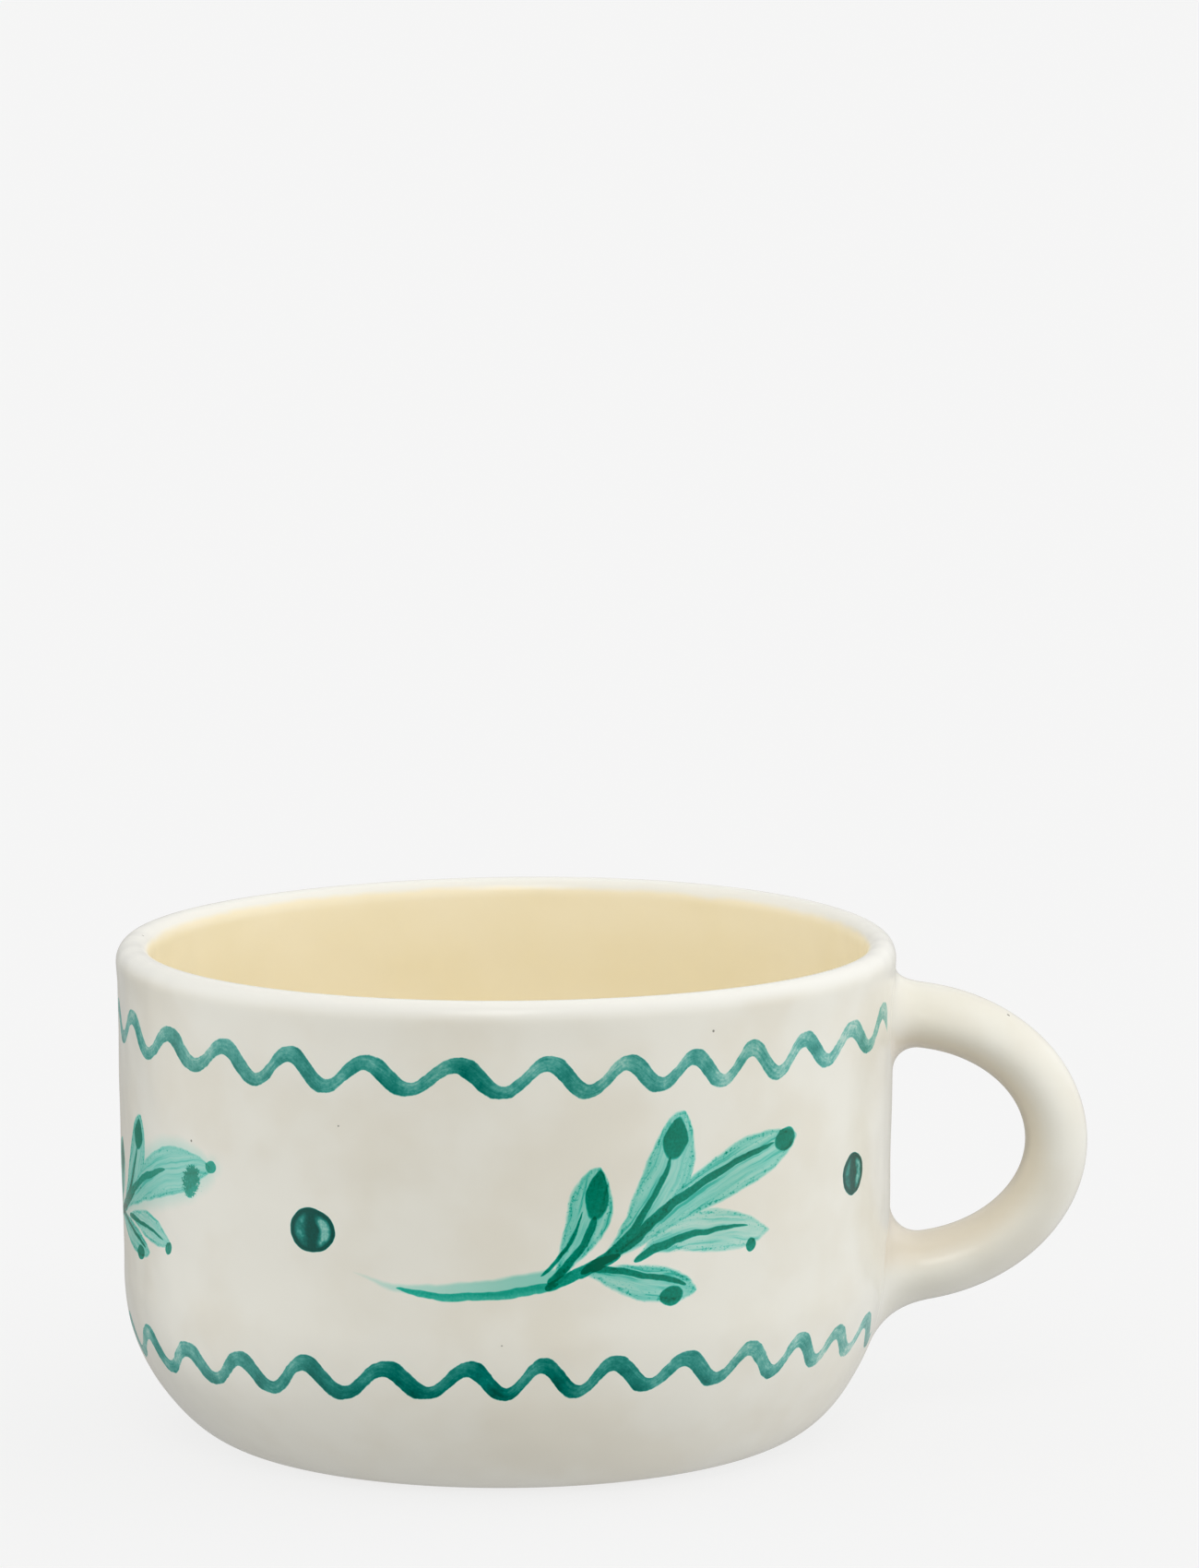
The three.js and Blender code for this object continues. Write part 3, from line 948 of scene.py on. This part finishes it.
def cream_glaze():
    """The clouded cream of the inside, which runs into the white at the lip."""
    material, tree, shader = new_material("cream_glaze")
    place = object_place(tree)
    _, _, up = separate(tree, place)
    cloud = noise(tree, place, 18.0, 3.0, 0.55).rise(0.3, 0.7)
    cream = mix_colours(tree, cloud, CREAM, CREAM_THICK)
    uneven_up = up + (noise(tree, place, 5.0) - 0.5) * 0.9
    thin = uneven_up.rise(CREAM_TOP - CREAM_FADE, CREAM_TOP)
    # the cream runs up into the lip's white, which carries the painted highlight
    glaze_surface(tree, shader, place, mix_colours(tree, thin, cream, WHITE_LIP_HIGHLIT), CREAM_ROUGHNESS)
    return material


def bare_clay():
    """Dull gritty clay, for the foot."""
    material, tree, shader = new_material("bare_clay")
    place = object_place(tree)
    grit = noise(tree, place, 0.5, 3.0, 0.7)
    cloud = noise(tree, place, 12.0, 2.0)
    pale = (grit * 0.6 + cloud * 0.4).rise(0.35, 0.65)
    tree.links.new(mix_colours(tree, pale, CLAY_DARK, CLAY_PALE), shader.inputs["Base Color"])
    tree.links.new((0.8 + grit * 0.15).socket, shader.inputs["Roughness"])
    add_bump(tree, shader, grit, 0.06 * MM)
    return material


# ---------------------------------------------------------------- camera and light
CAMERA_DISTANCE = 1.1
CAMERA_HEIGHT_DEGREES = 11.41
LOOK_UP_DEGREES = 3.05
LOOK_RIGHT_DEGREES = 0.737
ROLL_DEGREES = -0.17
LENS = 170.5
SENSOR = 36
TABLE_GLOW = 0.38
TABLE_RIGHT_GLOW = 0.3                  # what the table has more on the right
TABLE_MIDDLE_GLOW = 0.2                 # and straight below the mug
WALL_GLOW = 0.31
CEILING_GLOW = 0.08
RIGHT_GLOW = 0.31
LEFT_GLOW = 0.72
SOFTBOX_GLOW = 2.6
BEHIND_LEFT_SHADE = -0.15
TABLE_SHADE = -0.25
LIGHT_MIDDLE = (1.0, 0.99, 0.97)        # the light's colour in the middle and at the sides
LIGHT_SIDES = (0.985, 0.992, 1.01)
FLOOR_SIZE = 12.0
FLOOR_PAINT = 0.14
FLOOR_GLOW = 0.772
BLACK_POINT = 0.018                     # what the camera shows as black, as in the photo


def add_camera():
    """The photo's view: in front, a little above level, turned slightly off the mug's middle."""
    target = Vector((0, 0, CUP_HEIGHT / 2))
    raised = math.radians(CAMERA_HEIGHT_DEGREES)
    data = bpy.data.cameras.new("camera")
    data.lens = LENS
    data.sensor_width = SENSOR
    data.clip_start = 0.05
    data.clip_end = 60
    camera = bpy.data.objects.new("camera", data)
    away = Vector((0, -math.cos(raised), math.sin(raised)))
    look = Matrix.Rotation(math.radians(90 - CAMERA_HEIGHT_DEGREES + LOOK_UP_DEGREES), 4, "X")
    turn = Matrix.Rotation(math.radians(-LOOK_RIGHT_DEGREES), 4, "Z")
    roll = Matrix.Rotation(math.radians(ROLL_DEGREES), 4, "Z")
    camera.matrix_world = Matrix.Translation(target + CAMERA_DISTANCE * away) @ turn @ look @ roll
    bpy.context.scene.collection.objects.link(camera)
    bpy.context.scene.camera = camera


def glow_towards(direction, azimuth, elevation, inner, outer):
    """1 in a round patch of the studio, fading to 0 between the inner and outer angles from its middle.

    All angles are in degrees, azimuth from the front towards the handle.
    """
    turn, rise = math.radians(azimuth), math.radians(elevation)
    level = math.cos(rise)
    centre = (math.sin(turn) * level, -math.cos(turn) * level, math.sin(rise))
    closeness = total(part * share for part, share in zip(direction, centre))
    return closeness.rise(math.cos(math.radians(outer)), math.cos(math.radians(inner)))


def studio_brightness(direction):
    """Pale walls, broad glows on both sides, a round softbox high in front, a greyer table."""
    right, behind, up = direction
    table = TABLE_GLOW + right.rise(-0.3, 0.6) * TABLE_RIGHT_GLOW
    table = table + up.rise(-0.55, -1.0) * TABLE_MIDDLE_GLOW
    walls = table + up.rise(-0.15, 0.3) * WALL_GLOW + up.rise(0.35, 0.95) * CEILING_GLOW
    shade = behind.rise(0.3, 0.8) * right.rise(-0.25, -0.6) * BEHIND_LEFT_SHADE
    right_side = right.rise(0.3, 0.9) * RIGHT_GLOW
    left_side = right.rise(-0.55, -1.0) * behind.rise(0.9, 0.3) * LEFT_GLOW
    softbox = glow_towards(direction, -4, 42, 10, 18) * SOFTBOX_GLOW
    table_shade = glow_towards(direction, 28, -50, 32, 40) * TABLE_SHADE
    return walls + (right_side + left_side) + softbox + shade + table_shade


def add_world():
    """The soft studio that lights the mug from all around."""
    world = bpy.data.worlds.new("studio")
    world.use_nodes = True
    tree = world.node_tree
    background = tree.nodes["Background"]
    coordinates = tree.nodes.new("ShaderNodeTexCoord")
    direction = separate(tree, coordinates.outputs["Generated"])
    tree.links.new(studio_brightness(direction).socket, background.inputs["Strength"])
    colour = mix_colours(tree, direction[0].abs().rise(0.2, 0.9), LIGHT_MIDDLE, LIGHT_SIDES)
    tree.links.new(colour, background.inputs["Color"])
    bpy.context.scene.world = world


def add_floor():
    """A pale floor lit evenly. It is out of the mug's own light, which comes from the studio all around."""
    mesh = bpy.data.meshes.new("floor")
    size = FLOOR_SIZE
    under = -0.1 * MM
    corners = [(-size, -size, under), (size, -size, under), (size, size, under), (-size, size, under)]
    mesh.from_pydata(corners, [], [(0, 1, 2, 3)])
    floor = bpy.data.objects.new("floor", mesh)
    bpy.context.scene.collection.objects.link(floor)
    material, _, shader = new_material("floor")
    shader.inputs["Base Color"].default_value = (FLOOR_PAINT, FLOOR_PAINT, FLOOR_PAINT, 1)
    shader.inputs["Roughness"].default_value = 1.0
    shader.inputs["Specular IOR Level"].default_value = 0.0
    shader.inputs["Emission Color"].default_value = (1, 1, 1, 1)
    shader.inputs["Emission Strength"].default_value = FLOOR_GLOW
    mesh.materials.append(material)
    floor.visible_diffuse = False
    floor.visible_glossy = False
    floor.visible_shadow = False


def set_view():
    """How the camera turns light into the picture's values."""
    settings = bpy.context.scene.view_settings
    settings.view_transform = "Standard"
    settings.use_curve_mapping = True
    settings.curve_mapping.black_level = (BLACK_POINT, BLACK_POINT, BLACK_POINT)
    settings.curve_mapping.update()


# ---------------------------------------------------------------- put together
outer_glaze = add_outer_glaze()
liner_glaze = add_liner_glaze()
clay_body = add_clay_body()
handle = add_handle()

pieces = (
    (outer_glaze, painted_white_glaze()),
    (liner_glaze, cream_glaze()),
    (clay_body, bare_clay()),
    (handle, plain_white_glaze()),
)
for piece, material in pieces:
    piece.data.materials.append(material)
    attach(piece, "root")

PAINT_NODES = ["upper_wave_line", "lower_wave_line", "front_branch", "left_branch", "back_branch"]
PAINT_NODES += ["dot_1", "dot_2", "dot_3", "dot_4"]
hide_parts("outer_glaze", *PAINT_NODES)
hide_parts("liner_glaze")
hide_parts("thrown_body")
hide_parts("handle", "upper_handle_joint", "lower_handle_joint")

add_camera()
add_world()
add_floor()
set_view()
